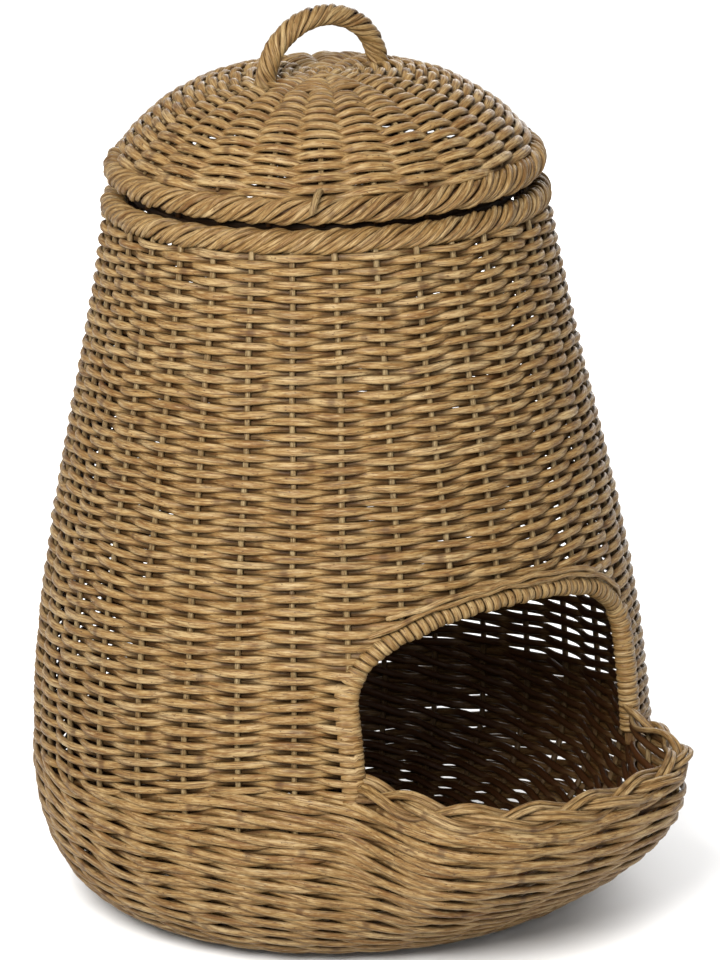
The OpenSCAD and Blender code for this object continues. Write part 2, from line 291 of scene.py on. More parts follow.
class Piece:
    """Canes that are collected into one mesh."""

    def __init__(self):
        self.points, self.grain, self.tone, self.shade, self.strips = [], [], [], [], []
        self.count = 0

    def sweep(self, path, out, tall, deep, shade=0.0, inner_shade=0.0, closed=False, ends=0.6):
        """Adds a cane with an oval section, deep along out and tall across it.
        shade is painted shade over the whole section; the argument after it is painted shade on its side
        away from out."""
        samples = len(path)
        tall, deep, shade, inner_shade = (np.array(np.broadcast_to(value, samples), float)
                                    for value in (tall, deep, shade, inner_shade))
        if closed:
            run = np.roll(path, -1, 0) - np.roll(path, 1, 0)
        else:
            run = np.gradient(path, axis=0)
            tall[[0, -1]] *= ends
            deep[[0, -1]] *= ends
        tangent = unit(run)
        side = unit(np.cross(out, tangent))
        normal = np.cross(tangent, side)
        turn = np.arange(SIDES) * 2 * np.pi / SIDES
        across = (np.cos(turn)[:, None] * (deep[:, None] * normal)[:, None]
                  + np.sin(turn)[:, None] * (tall[:, None] * side)[:, None])
        step = np.linalg.norm(np.diff(path, axis=0, prepend=path[:1]), axis=-1)
        grain = np.empty((samples, SIDES, 3))
        grain[..., 0] = (np.cumsum(step) + random.uniform(0, 40))[:, None]
        grain[..., 1] = np.cos(turn) * GRAIN_RADIUS
        grain[..., 2] = np.sin(turn) * GRAIN_RADIUS
        # painted shade: the shade argument, the side away from out and the sides that face the next cane are
        # darkened into the shade attribute
        dark = shade[:, None] + inner_shade[:, None] * smooth(0.15, -0.75, np.cos(turn))
        dark = dark + EDGE_SHADE * smooth(0.8, 1, np.abs(np.sin(turn)))
        self.points.append((path[:, None] + across).reshape(-1, 3))
        self.grain.append(grain.reshape(-1, 3))
        self.tone.append(np.full(samples * SIDES, random.uniform(0, 1)))
        self.shade.append(np.clip(dark, 0, 1).ravel())
        self.strips.append((self.count, samples, closed))
        self.count += samples * SIDES

    def build(self, name, body, slot, material, *replaced):
        quads, caps = [], []
        for start, samples, closed in self.strips:
            index = start + np.arange(samples * SIDES).reshape(samples, SIDES)
            here = index if closed else index[:-1]
            there = np.roll(index, -1, 0) if closed else index[1:]
            quads.append(np.stack([here, there, np.roll(there, -1, 1), np.roll(here, -1, 1)], -1)
                         .reshape(-1, 4))
            if not closed:
                caps += [index[0], index[-1, ::-1]]
        quads = np.concatenate(quads)
        caps = np.array(caps, int).reshape(-1, SIDES)
        mesh = bpy.data.meshes.new(name)
        mesh.vertices.add(self.count)
        points = np.concatenate(self.points)
        if body == "lid":
            points = lean(points)
        mesh.vertices.foreach_set("co", points.astype(np.float32).ravel())
        mesh.loops.add(quads.size + caps.size)
        corners = np.concatenate([quads.ravel(), caps.ravel()])
        mesh.loops.foreach_set("vertex_index", corners.astype(np.int32))
        totals = np.concatenate([np.full(len(quads), 4), np.full(len(caps), SIDES)])
        mesh.polygons.add(len(totals))
        starts = np.concatenate([[0], np.cumsum(totals)[:-1]])
        mesh.polygons.foreach_set("loop_start", starts.astype(np.int32))
        mesh.polygons.foreach_set("use_smooth", np.concatenate(
            [np.ones(len(quads), bool), np.zeros(len(caps), bool)]))
        mesh.update(calc_edges=True)
        self.unwrap(mesh, len(quads), len(caps))
        for label, kind, values in (("grain", "FLOAT_VECTOR", self.grain), ("tone", "FLOAT", self.tone),
                                    ("shade", "FLOAT", self.shade)):
            attribute = mesh.attributes.new(label, kind, "POINT")
            key = "vector" if kind == "FLOAT_VECTOR" else "value"
            attribute.data.foreach_set(key, np.concatenate(values).astype(np.float32).ravel())
        mesh.validate()
        mesh.materials.append(material)
        piece = bpy.data.objects.new(name, mesh)
        bpy.context.scene.collection.objects.link(piece)
        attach(piece, body)
        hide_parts(*replaced)
        return piece

    def unwrap(self, mesh, quads, caps):
        """Lays the canes out as ribbons, one under the other, so that the map follows each cane."""
        steps = quads // SIDES
        lines = max(1, int(np.sqrt(steps * 0.35)))
        per_line = int(np.ceil(steps / lines))
        step = np.repeat(np.arange(steps), SIDES)
        side = np.tile(np.arange(SIDES), steps)
        left = (step % per_line) / per_line
        low = (step // per_line + 0.06 + 0.88 * side / SIDES) / (lines + 1)
        wide, tall = 1 / per_line, 0.88 / SIDES / (lines + 1)
        corners = np.stack([np.stack([left, low], -1), np.stack([left + wide, low], -1),
                            np.stack([left + wide, low + tall], -1), np.stack([left, low + tall], -1)], 1)
        turn = np.arange(SIDES) * 2 * np.pi / SIDES
        spot = np.stack([0.5 + 0.4 * np.cos(turn), 0.5 + 0.4 * np.sin(turn)], -1) / (lines + 1)
        place = np.stack([np.arange(caps) / max(caps, 1), np.full(caps, lines / (lines + 1))], -1)
        cells = place[:, None] + spot[None] * [0.9, 1]
        layer = mesh.uv_layers.new(name="OFBake")
        values = np.concatenate([corners.reshape(-1, 2), np.minimum(cells, 0.999).reshape(-1, 2)])
        layer.data.foreach_set("uv", values.astype(np.float32).ravel())


# ---------- material ----------

# dark brown of specks, splits and joints, and the colour that painted shade darkens towards
SPECK_AND_SHADE = (0.028, 0.0095, 0.002)


def cane_material(name, pale, mid, deep, speck_and_shade=SPECK_AND_SHADE, rough=0.50):
    """Peeled cane: streaks along it, patches of colour, specks, a darker joint now and then, and painted
    shade from the shade attribute.
    """
    material = bpy.data.materials.new(name)
    material.use_nodes = True
    tree = material.node_tree
    surface = tree.nodes["Principled BSDF"]

    def node(kind, **values):
        made = tree.nodes.new(kind)
        for key, value in values.items():
            setattr(made, key, value)
        return made

    def attribute(label):
        return node("ShaderNodeAttribute", attribute_name=label)

    def link(source, target):
        tree.links.new(source, target)

    grain, tone, shade = attribute("grain"), attribute("tone"), attribute("shade")
    shift = node("ShaderNodeVectorMath", operation="MULTIPLY_ADD")
    link(tone.outputs["Vector"], shift.inputs[0])
    shift.inputs[1].default_value = (37, 11, 23)
    link(grain.outputs["Vector"], shift.inputs[2])

    def noise(scale, detail, layers=0.55):
        stretch = node("ShaderNodeVectorMath", operation="MULTIPLY")
        link(shift.outputs[0], stretch.inputs[0])
        stretch.inputs[1].default_value = scale
        made = node("ShaderNodeTexNoise")
        made.inputs["Scale"].default_value = 1
        made.inputs["Detail"].default_value = detail
        made.inputs["Roughness"].default_value = layers
        link(stretch.outputs[0], made.inputs["Vector"])
        return made.outputs["Fac"]

    def remap(value, low, high, new_low=0.0, new_high=1.0):
        made = node("ShaderNodeMapRange")
        made.inputs["From Min"].default_value = low
        made.inputs["From Max"].default_value = high
        made.inputs["To Min"].default_value = new_low
        made.inputs["To Max"].default_value = new_high
        link(value, made.inputs["Value"])
        return made.outputs["Result"]

    def number(operation, *values):
        made = node("ShaderNodeMath", operation=operation)
        for socket, value in zip(made.inputs, values):
            if isinstance(value, float):
                socket.default_value = value
            else:
                link(value, socket)
        return made.outputs[0]

    def mix(factor, a, b):
        made = node("ShaderNodeMix", data_type="RGBA")
        link(factor, made.inputs["Factor"])
        for socket, value in ((made.inputs[6], a), (made.inputs[7], b)):
            if isinstance(value, tuple):
                socket.default_value = (*value, 1)
            else:
                link(value, socket)
        return made.outputs[2]

    patches = noise((22, 150, 150), 3)
    streaks = noise((30, 330, 330), 3, 0.65)
    mottle = noise((45, 560, 560), 3, 0.6)
    splits = noise((17, 430, 430), 2)
    fine = noise((120, 1150, 1150), 3, 0.65)
    specks = noise((380, 1100, 1100), 1)
    own = number("MULTIPLY_ADD", tone.outputs["Fac"], 0.28, 0.07)
    blend = number("ADD", own, number("MULTIPLY", patches, 0.85))
    ramp = node("ShaderNodeValToRGB")
    link(blend, ramp.inputs["Fac"])
    stops = ramp.color_ramp.elements
    stops[0].position, stops[0].color = 0.34, (*deep, 1)
    stops[1].position, stops[1].color = 0.86, (*pale, 1)
    for position in (0.52, 0.68):
        stops.new(position).color = (*mid, 1)
    colour = mix(remap(streaks, 0.50, 0.70, 0.0, 0.75), ramp.outputs["Color"], deep)
    colour = mix(remap(streaks, 0.46, 0.30, 0.0, 0.65), colour, pale)
    colour = mix(remap(mottle, 0.50, 0.70, 0.0, 0.7), colour, deep)
    colour = mix(remap(fine, 0.49, 0.65, 0.0, 0.8), colour, deep)
    colour = mix(remap(fine, 0.47, 0.34, 0.0, 0.75), colour, pale)
    crack = number("ABSOLUTE", number("SUBTRACT", splits, 0.5))
    colour = mix(remap(crack, 0.030, 0.008, 0.0, 0.6), colour, speck_and_shade)
    colour = mix(remap(specks, 0.66, 0.74, 0.0, 0.85), colour, speck_and_shade)
    joints = node("ShaderNodeTexVoronoi", voronoi_dimensions="1D")
    joints.inputs["Scale"].default_value = 3.1
    separate = node("ShaderNodeSeparateXYZ")
    link(shift.outputs[0], separate.inputs[0])
    link(separate.outputs["X"], joints.inputs["W"])
    ring = remap(joints.outputs["Distance"], 0.012, 0.004, 0.0, 0.55)
    colour = mix(ring, colour, speck_and_shade)
    # painted shade: the shade attribute darkens the colour towards the dark brown
    colour = mix(shade.outputs["Fac"], colour, speck_and_shade)
    link(colour, surface.inputs["Base Color"])
    link(remap(fine, 0.3, 0.7, rough - 0.06, rough + 0.14), surface.inputs["Roughness"])
    surface.inputs["Specular IOR Level"].default_value = 0.15
    bump = node("ShaderNodeBump")
    bump.inputs["Strength"].default_value = 0.75
    bump.inputs["Distance"].default_value = 0.0009
    link(number("ADD", streaks, number("MULTIPLY", fine, 0.6)), bump.inputs["Height"])
    link(bump.outputs["Normal"], surface.inputs["Normal"])
    return material


weaver_cane = cane_material("weaver_cane", (0.236, 0.17, 0.083), (0.163, 0.1, 0.036), (0.082, 0.036, 0.008))
stake_cane = cane_material("stake_cane", (0.225, 0.172, 0.090), (0.165, 0.114, 0.050), (0.087, 0.049, 0.016))
stick_cane = cane_material("stick_cane", (0.121, 0.073, 0.028), (0.084, 0.045, 0.016), (0.050, 0.026, 0.008),
                           rough=0.55)
rope_cane = cane_material("rope_cane", (0.236, 0.168, 0.081), (0.154, 0.093, 0.032), (0.072, 0.032, 0.007))
wrap_cane = cane_material("wrap_cane", (0.228, 0.163, 0.076), (0.155, 0.095, 0.034), (0.082, 0.038, 0.009))
shadow_cane = cane_material("shadow_cane", (0.03, 0.015, 0.006), (0.02, 0.009, 0.003), (0.012, 0.005, 0.002),
                            (0.006, 0.003, 0.001), 0.6)

# ---------- the plain wall ----------


def over_under(x):
    """Swing of a weaver that passes over one stake and under the next, flat over each stake."""
    wave = np.cos(np.pi * x)
    return wave * (1.3 - 0.3 * wave * wave)


def spread_over(swing):
    """How much taller a weaver is where it is pressed flat over or under a stake."""
    return 1 + WEAVER_SPREAD * smooth(0, 1, np.abs(swing))


def row_gauge(row):
    """A factor on the thickness and the pitch of rows, which shrinks a little with height."""
    return 1.04 - 0.095 * smooth(18, 40, row)


def row_height(row):
    return FIRST_ROW + ROW_PITCH * (row_gauge(np.arange(max(row, 0))).sum() + min(row, 0))


def rows_up_to(height):
    count = 0
    while row_height(count) <= height:
        count += 1
    return count


def climb(angle):
    """How much higher than at the back the waled part ends, on both sides of the doorway."""
    aside = np.abs(signed(angle))
    return WALE_CLIMB * (1 - np.exp(-((aside / PLAIT_SPREAD) ** 2))) * (1 - smooth(40, 92, aside))


def row_line(row, angle):
    """Height of a row: the lowest ones follow the rise of the waled part."""
    z = row_height(row)
    rest = 1 - np.clip((z - BELLY_HEIGHT) / 0.26, 0, 1)
    return z + climb(angle) * rest**2


def looseness(angle, z):
    """How thick weavers are: thinner low down at the front, and in a patch at the right."""
    low_front = (1 - smooth(0.125, 0.185, z)) * (1 - smooth(70, 120, np.abs(signed(angle))))
    patch = np.exp(-(((signed(angle) - 86) / 16) ** 2) - ((z - 0.215) / 0.035) ** 2)
    return 1 - 0.13 * low_front - 0.10 * patch


row_wander = wandering(16, 5)
row_swell = wandering(30, 30)


def plain_row(piece, row):
    """One round of the wall, or the part of it beside the doorway, hooked round the doorway's rod."""
    sign = 1 if row % 2 else -1
    z = row_line(row, JAMB_ANGLE) if row_height(row) < RISING_ROWS_TOP else row_height(row)
    open_row = z < DOOR_TOP_HEIGHT + ROD_RADIUS - 0.002
    hooked = open_row and z < HOOK_HEIGHT
    x = np.arange(0, STAKES, 1 / ROW_SAMPLES) + BACK
    if open_row:
        width = arch_half_width(min(z, DOOR_TOP_HEIGHT - 0.001))
        gap = 0 if hooked else WRAP_GAP
        edge = np.degrees(np.arcsin((width + gap) / inset(height_to_s(z), HALF_WEAVE)[0]))
        first, last = stake_count(edge), stake_count(360 - edge)
        x = np.linspace(first, last, int((last - first) * ROW_SAMPLES))
    angle = stake_angle(x)
    height = row_line(row, angle)
    swing = sign * over_under(x) * (1 + 0.06 * wobble(x, STAKES, 40, 0))
    lift = WALL_WAVE * swing
    if open_row:
        hold = sign * HOOK_REACH if hooked else 0
        for end in (x[0], x[-1]):
            near = 1 - smooth(0.0, 0.75, np.abs(x - end))
            lift = lift * (1 - near) + near * hold
    share = row / WANDER_ROWS
    drift = (0.0007 * row_wander(x / STAKES, share) + 0.00014 * wobble(x, STAKES, 24, 0.3)
             - 0.0006 * slips(x))
    point, out, up = wall_frame(angle, height_to_s(height))
    path = point + lift[:, None] * out + drift[:, None] * up
    size = looseness(angle, height) * (1 + 0.055 * row_swell(x / STAKES, share)) * random.uniform(0.95, 1.04)
    tall = WEAVER_TALL * row_gauge(row) * size * spread_over(swing)
    deep = WEAVER_DEEP * (1 + 0.04 * wobble(x, STAKES, 30, 0.2))
    # painted shade where the weaver passes behind a stake
    behind = BEHIND_SHADE * smooth(0.0, -1.0, swing)
    # painted shade on the weaver's side towards the inside of the basket
    inner_shade = np.full(len(x), INSIDE_SHADE)
    if hooked:
        path, out = hook_ends(path, out, z, width, sign)
        grow = (len(path) - len(x)) // 2
        tall, deep = np.pad(tall, grow, "edge"), np.pad(deep, grow, "edge")
        behind, inner_shade = np.pad(behind, grow), np.pad(inner_shade, grow)
    piece.sweep(path, out, tall, deep, behind, inner_shade, not open_row)


def packing_row(piece):
    """A short row from the doorway to past the back, which levels the end of the waled part's spiral."""
    x = np.arange(stake_count(PACKING_START), stake_count(PACKING_END), 1 / ROW_SAMPLES)
    angle = stake_angle(x)
    swing = over_under(x)
    thin = 1 - 0.6 * smooth(PACKING_END - 70, PACKING_END, angle)
    point, out, up = wall_frame(angle, height_to_s(row_line(-1, angle)), True)
    path = point + (WALL_WAVE * swing)[:, None] * out + 0.0004 * row_wander(x / STAKES, 0)[:, None] * up
    tall = WEAVER_TALL * 1.1 * thin * spread_over(swing)
    # painted shade where the weaver passes behind a stake
    behind = BEHIND_SHADE * smooth(0.0, -1.0, swing)
    # painted shade on the side towards the inside of the basket
    piece.sweep(path, out, tall, WEAVER_DEEP * thin, behind, INSIDE_SHADE)


def slips(x):
    """A weaver has slipped down between two stakes here and there, which leaves a slit above it."""
    total = np.zeros(len(x))
    for spot in random.uniform(0, STAKES, random.poisson(0.7)):
        away = (x - spot + STAKES / 2) % STAKES - STAKES / 2
        total += np.exp(-(away / 0.8) ** 2)
    return total


def rod_frame(z, width, side):
    """The doorway rod's middle at a height, and the directions out of the wall and into the doorway."""
    angle = side * np.degrees(np.arcsin(width / inset(height_to_s(z), HALF_WEAVE)[0]))
    point, out, up = wall_frame(angle, height_to_s(z))
    slant = (arch_half_width(z + 0.001) - arch_half_width(z - 0.001)) / 0.002
    around = np.cross(up, out)
    into = unit(-side * around + np.clip(slant, -1.2, 0) * up)
    return point, out, into


def hook_ends(path, out, z, width, sign):
    """Carries both ends of a row round the doorway's rod and tucks them back into the wall."""
    turn = np.radians(np.linspace(70, -90, 9))
    parts = []
    for side in (1, -1):
        point, away, into = rod_frame(z, width, side)
        radial = sign * np.sin(turn)[:, None] * away + np.cos(turn)[:, None] * into
        loop = point + HOOK_REACH * radial
        tail = loop[-1] - into * np.array([[0.005], [0.010]]) + sign * away * np.array([[0.0003], [0.0012]])
        hook = np.concatenate([loop, tail])
        facing = np.concatenate([sign * radial, np.repeat(sign * radial[-1:], 2, 0)])
        parts.append((hook, facing))
    (first, first_out), (last, last_out) = parts
    return np.concatenate([first[::-1], path, last]), np.concatenate([first_out[::-1], out, last_out])


rows = rows_up_to(NECK_HEIGHT + 0.001)
door_rows = rows_up_to(ROUNDS_HEIGHT)
middle_rows = (rows + door_rows) // 2
for name, first, last, node in (("door_rows", 0, door_rows, "lower_wall"),
                                ("middle_rounds", door_rows, middle_rows, "upper_wall"),
                                ("top_rounds", middle_rows, rows, "upper_wall")):
    piece = Piece()
    for row in range(first, last):
        plain_row(piece, row)
    if first == 0:
        packing_row(piece)
    piece.build(name, "basket", "weavers", weaver_cane, node)

# ---------- the waled bowl ----------

WALE_CANE = 0.0030
WALE_DEEP = 0.0021
WALE_RISE = 0.0037  # how far a strand rises and falls as it passes the two others
WALE_START = 0.012  # the first round, as a share of the way up the bowl
WALE_PART = 0.985  # the share of the way up that all rounds take
LEVEL = 0.7  # how far the rounds keep their height across the lip
DIP_SPREAD = 7  # steps of the table over which the rounds dip towards the lip
TABLE_STEP = 2.5  # degrees
TABLE_SHARES = 100
NEIGHBOURS = 14


def even_rows():
    """For each angle, the s at which a share of the way up the bowl is reached, so that rows are even."""
    angles = np.arange(-180, 181, TABLE_STEP)
    table = []
    for angle in angles:
        s = np.linspace(0, height_to_s(BELLY_HEIGHT + climb(angle)), 161)
        run = run_along(wall_middle(np.full(len(s), angle), s, True))
        table.append(np.interp(np.linspace(0, 1, TABLE_SHARES + 1), run / run[-1], s))
    table = np.array(table)
    top = table[:, -1:]
    shares = table / top
    shares = np.concatenate([shares[-NEIGHBOURS - 1:-1], shares, shares[1:NEIGHBOURS + 1]])
    near = np.exp(-((np.arange(-NEIGHBOURS, NEIGHBOURS + 1) / DIP_SPREAD) ** 2))
    soft = []
    for row in range(len(table)):
        soft.append((near[:, None] * shares[row:row + len(near)]).sum(0) / near.sum())
    soft = np.array(soft)
    return ((1 - LEVEL) * soft + LEVEL * soft[:1]) * top


wale_table = even_rows()


def share_to_s(angle, share):
    """Looks s up in the table, and blends between its four nearest values."""
    row = (signed(angle) + 180) / TABLE_STEP
    column = np.clip(share, 0, 1) * TABLE_SHARES
    i = np.clip(row.astype(int), 0, len(wale_table) - 2)
    j = np.clip(column.astype(int), 0, TABLE_SHARES - 1)
    u, v = row - i, column - j
    return ((1 - u) * (1 - v) * wale_table[i, j] + u * (1 - v) * wale_table[i + 1, j]
            + (1 - u) * v * wale_table[i, j + 1] + u * v * wale_table[i + 1, j + 1])


def wale_swing(x):
    """Out of the wall over two stakes and in behind the third; x counts stakes from the first."""
    turn = 2 * np.pi * (x - 0.5) / 3
    return 1 / 3 + 1.125 * np.cos(turn) - 0.208 * np.cos(2 * turn)


def wale_slope(x):
    """A strand comes out high and goes down to the right, under the strand that comes out next."""
    turn = 2 * np.pi * (x - 0.5) / 3
    return -np.sin(turn) + 0.21 * np.sin(2 * turn)


wale_wander = wandering(16, 4)


def wale_strand(piece, strand, low, high):
    """The part of one of the three strands between two shares of the way up the bowl."""
    turns = WALE_ROWS * STAKES
    x = np.arange(low * turns, high * turns + 0.5 / WALE_SAMPLES, 1 / WALE_SAMPLES)
    share = x / turns
    angle = stake_angle(x)
    s = share_to_s(angle, WALE_START + WALE_PART * share)
    point, out, up = wall_frame(angle, s, True)
    spread = 1 + 0.16 * bulge(angle, 0.1) / LIP_REACH + 0.8 * climb(angle) / BELLY_HEIGHT
    phase = x - strand
    lift = WALL_WAVE * wale_swing(phase) + 0.0003 * wobble(x, turns, 90, 0.1)
    rise = WALE_RISE * spread * wale_slope(phase) + 0.0003 * wobble(x, turns, 120, 0.1)
    rise = rise + 0.0012 * wale_wander(x / STAKES, share)
    path = point + lift[:, None] * out + rise[:, None] * up
    size = 1 + 0.06 * wobble(x, turns, 400, 0)
    path[:, 2] = np.maximum(path[:, 2], WALE_CANE + 0.0002)
    swing = wale_swing(phase)
    tall = WALE_CANE * size * spread * (0.92 + 0.12 * smooth(-0.3, 1.2, swing))
    # painted shade where the strand passes behind a stake
    behind = BEHIND_SHADE * smooth(0.3, -0.7, swing)
    # painted shade on the inside, less of it where the lip stands out and light reaches it
    inner_shade = INSIDE_SHADE * (1 - 0.85 * bulge(angle, 0.1) / LIP_REACH)
    piece.sweep(path, out, tall, WALE_DEEP, behind, inner_shade)


for name, low, high, nodes in (("lower_wale_canes", 0, 0.45, ["lower_wale"]),
                               ("upper_wale_canes", 0.45, 1, ["upper_wale", "lip_wale"])):
    piece = Piece()
    for strand in range(3):
        wale_strand(piece, strand, low, high)
    piece.build(name, "basket", "weavers", weaver_cane, *nodes)

# ---------- stakes ----------


def upright(piece, angle, low, high, steps, lip=False, top=None):
    """A stake between two values of s. Below the belly it follows the lip's swell."""
    s = np.linspace(low, high, steps)
    point, out, up = wall_frame(angle, s, lip)
    if not lip:
        in_bowl = (s < 1)[:, None]
        bowl_point, bowl_out, bowl_up = wall_frame(angle, np.minimum(s, 1), True)
        point = np.where(in_bowl, bowl_point, point)
        out = np.where(in_bowl, bowl_out, out)
    around = np.cross(up, out)
    sway = 0.0005 * wobble(s, 2, 7, 0.3)
    path = point + sway[:, None] * around
    if top is not None:
        path = np.concatenate([path, top[None]])
        out = np.concatenate([out, out[-1:]])
    # painted shade on the stake's inside, less of it in the lip
    inner_shade = LIP_INSIDE_SHADE if lip else INSIDE_SHADE
    piece.sweep(path, out, STAKE_RADIUS * random.uniform(0.94, 1.06), STAKE_RADIUS, 0.1, inner_shade)


stakes, headers, lip_uprights = Piece(), Piece(), Piece()
for index in range(STAKES):
    angle = float(signed(stake_angle(index)))
    rope_top = polar(RIM_RING_RADIUS, angle, RIM_HEIGHT)
    from_middle = abs(sind(angle))
    if abs(angle) < 90 and from_middle * (BELLY_RADIUS - HALF_WEAVE) < DOOR_HALF_WIDTH:
        foot = arch_height(from_middle * inset(height_to_s(DOOR_TOP_HEIGHT), HALF_WEAVE)[0])
        upright(headers, angle, height_to_s(foot), 2, 40, top=rope_top)
        lip_top = polar(BELLY_RADIUS + bulge(angle, LIP_HEIGHT) - HALF_WEAVE, angle, plait_height(angle))
        upright(lip_uprights, angle, STAKE_START, 1, 30, True, lip_top)
    else:
        upright(stakes, angle, STAKE_START, 2, 70, top=rope_top)
stakes.build("stake_canes", "basket", "stakes", stake_cane, "wall_stakes")
headers.build("header_canes", "basket", "stakes", stake_cane, "header_stakes")
lip_uprights.build("lip_upright_canes", "basket", "stakes", stake_cane, "lip_stakes")

# ---------- doorway ----------


def arch_curve(count, foot):
    """Middle of the doorway's rod from the right foot over the top to the left foot."""
    turn = np.radians(np.linspace(0, 180, 241))
    x = DOOR_HALF_WIDTH * np.sign(np.cos(turn)) * np.abs(np.cos(turn)) ** (2 / ARCH_POWER)
    z = DOOR_SPRING_HEIGHT + (DOOR_TOP_HEIGHT - DOOR_SPRING_HEIGHT) * np.sin(turn) ** (2 / ARCH_POWER)
    leg = np.linspace(foot, DOOR_SPRING_HEIGHT, 30)[:-1]
    x = np.concatenate([np.full(len(leg), DOOR_HALF_WIDTH), x, np.full(len(leg), -DOOR_HALF_WIDTH)])
    z = np.concatenate([leg, z, leg[::-1]])
    radius = inset(height_to_s(np.maximum(z, BELLY_HEIGHT)), HALF_WEAVE)[:, 0]
    return even(np.stack([x, -np.sqrt(radius**2 - x**2), z], -1), count)


def even(line, count):
    """The same line with evenly spaced points."""
    run = run_along(line)
    return between(line, run, np.linspace(0, run[-1], count))


def line_frame(path, out):
    """Directions out of a line, square to it, and across it."""
    along = unit(np.gradient(path, axis=0))
    out = unit(out - (out * along).sum(-1, keepdims=True) * along)
    return out, np.cross(along, out)


def wound(piece, path, out, radius, pitch, tall, deep, unevenness):
    """One flat cane wound round a line."""
    run = run_along(path)
    turns = run[-1] / pitch
    place = np.linspace(0, run[-1], int(turns * WRAP_SAMPLES))
    line = between(path, run, place)
    away, across = line_frame(line, between(out, run, place))
    turn = 2 * np.pi * place / pitch
    radial = np.cos(turn)[:, None] * away + np.sin(turn)[:, None] * across
    swell = 1 + unevenness * wobble(place, run[-1], int(turns), 0)
    piece.sweep(line + radius * swell[:, None] * radial, radial, tall, deep)


WRAP_TALL = 0.0029
WRAP_DEEP = 0.0010
WRAP_PITCH = 0.0062
WRAP_UNEVENNESS = 0.08
WRAP_SAMPLES = 14  # points for each turn
FOLLOWERS = (  # distance from the rod, lift off the wall, start and end as shares of the rod
    (0.0088, 0.0050, 0.22, 0.735),
    (0.0128, 0.0062, 0.29, 0.70),
)

arch = arch_curve(240, BELLY_HEIGHT + 0.002)
arch_out = unit(arch * FLAT)
wrapped = arch[:, 2] > HOOK_HEIGHT - 0.006
rod, wrap = Piece(), Piece()
rod.sweep(arch, arch_out, ROD_RADIUS * 0.9, ROD_RADIUS * 0.9)
rod.build("arch_rod_cane", "basket", "sticks", stick_cane, "arch_rod")
wound(wrap, arch[wrapped], arch_out[wrapped], ROD_RADIUS + 0.0012, WRAP_PITCH, WRAP_TALL, WRAP_DEEP,
      WRAP_UNEVENNESS)
wrap.build("arch_wrap_cane", "basket", "wrapping", wrap_cane, "arch_wrap")


def beside_arch(away, lift, first, last):
    """A cane on the wall's outer face that follows the arch at some distance outside it."""
    out, across = line_frame(arch, arch_out)
    from_middle = arch - [0, 0, DOOR_SPRING_HEIGHT - 0.05]
    outward = across * np.sign((across * from_middle).sum(-1, keepdims=True))
    share = np.linspace(0, 1, len(arch))
    ends = smooth(0, 0.05, np.minimum(share - first, last - share))
    path = arch + (away + 0.003 * (1 - ends))[:, None] * outward + (lift * ends)[:, None] * out
    keep = (share > first) & (share < last)
    return path[keep], out[keep]


followers = Piece()
for away, lift, first, last in FOLLOWERS:
    path, out = beside_arch(away, lift, first, last)
    sway = 0.0006 * wobble(np.linspace(0, 1, len(path)), 1, 9, 0)
    # painted shade on the side towards the inside of the basket
    followers.sweep(path + sway[:, None] * UP, out, 0.0021, 0.0018, 0.0, INSIDE_SHADE)
followers.build("arch_follower_canes", "basket", "weavers", weaver_cane, "arch_wrap")

# ---------- lip ----------

LIP_ROW_LEVEL = 0.55  # between the waled part's top and the plait
LIP_ROW_FIRST = -3.55  # where the lip's row starts and ends, counted in stakes
LIP_ROW_LAST = 2.56
LIP_ROW_RISE = 0.0042
PLAIT_TURN = 0.140  # length in which a strand of the plait comes back to the same side
PLAIT_REACH = 0.0072  # how far a strand swings to each side
PLAIT_LIFT = 0.0036
PLAIT_GAP = 0.0041  # between the two canes of a strand
PLAIT_CANE = 0.0021


def lip_strand(piece, strand):
    x = np.arange(LIP_ROW_FIRST, LIP_ROW_LAST, 1 / WALE_SAMPLES)
    angle = stake_angle(x)
    foot = BELLY_HEIGHT + climb(angle)
    z = foot + (plait_height(angle) - 0.006 - foot) * LIP_ROW_LEVEL
    point, out, up = wall_frame(angle, height_to_s(z), True)
    phase = x - strand
    lift = WALL_WAVE * wale_swing(phase) + 0.0003 * wobble(x, 6, 6, 0)
    rise = LIP_ROW_RISE * wale_slope(phase) + 0.0004 * wobble(x, 6, 6, 0)
    path = point + lift[:, None] * out + rise[:, None] * up
    # painted shade where the strand passes behind a stake
    behind = BEHIND_SHADE * smooth(0.3, -0.7, wale_swing(phase))
    # lighter painted shade on the inside of the lip
    piece.sweep(path, out, WALE_CANE, WALE_DEEP, behind, LIP_INSIDE_SHADE)


lip = Piece()
for strand in range(3):
    lip_strand(lip, strand)
lip.build("lip_row_canes", "basket", "weavers", weaver_cane, "lip_rows")

plait_angle = np.linspace(-LIP_HALF_ANGLE - 1.5, LIP_HALF_ANGLE + 1.5, 200)
plait_radius = BELLY_RADIUS + bulge(plait_angle, LIP_HEIGHT) - HALF_WEAVE
plait_line = even(polar(plait_radius, plait_angle, plait_height(plait_angle)), 200)
plait_run = run_along(plait_line)
plait_face, plait_across = line_frame(plait_line, unit(unit(plait_line * FLAT) * 0.55 + UP * 0.8))
plait = Piece()
for strand in range(3):
    phase = 2 * np.pi * (plait_run / PLAIT_TURN + strand / 3)
    across = PLAIT_REACH * np.sin(phase)
    lift = PLAIT_LIFT * np.sin(2 * phase)
    heading = np.arctan2(np.gradient(across, plait_run), 1.0)
    # painted shade where a strand passes under the others, and on each cane's side away from the face
    under = 0.4 * smooth(0.2, -1, np.sin(2 * phase))
    for cane in (-0.5, 0.5):
        shift = across + cane * PLAIT_GAP / np.cos(heading)
        path = plait_line + shift[:, None] * plait_across + lift[:, None] * plait_face
        size = 1 + 0.08 * wobble(plait_run, plait_run[-1], 12, 0)
        plait.sweep(path, plait_face, PLAIT_CANE * size, PLAIT_CANE, under, 0.4)
plait.build("lip_braid_canes", "basket", "ropes", rope_cane, "lip_braid")

# ---------- ropes ----------

ROPE_CANE = 0.0023
ROPE_PLACES = ((-0.60, 0.68), (0, 0.80), (0.60, 0.68))  # turn in radians and reach of a strand's three canes


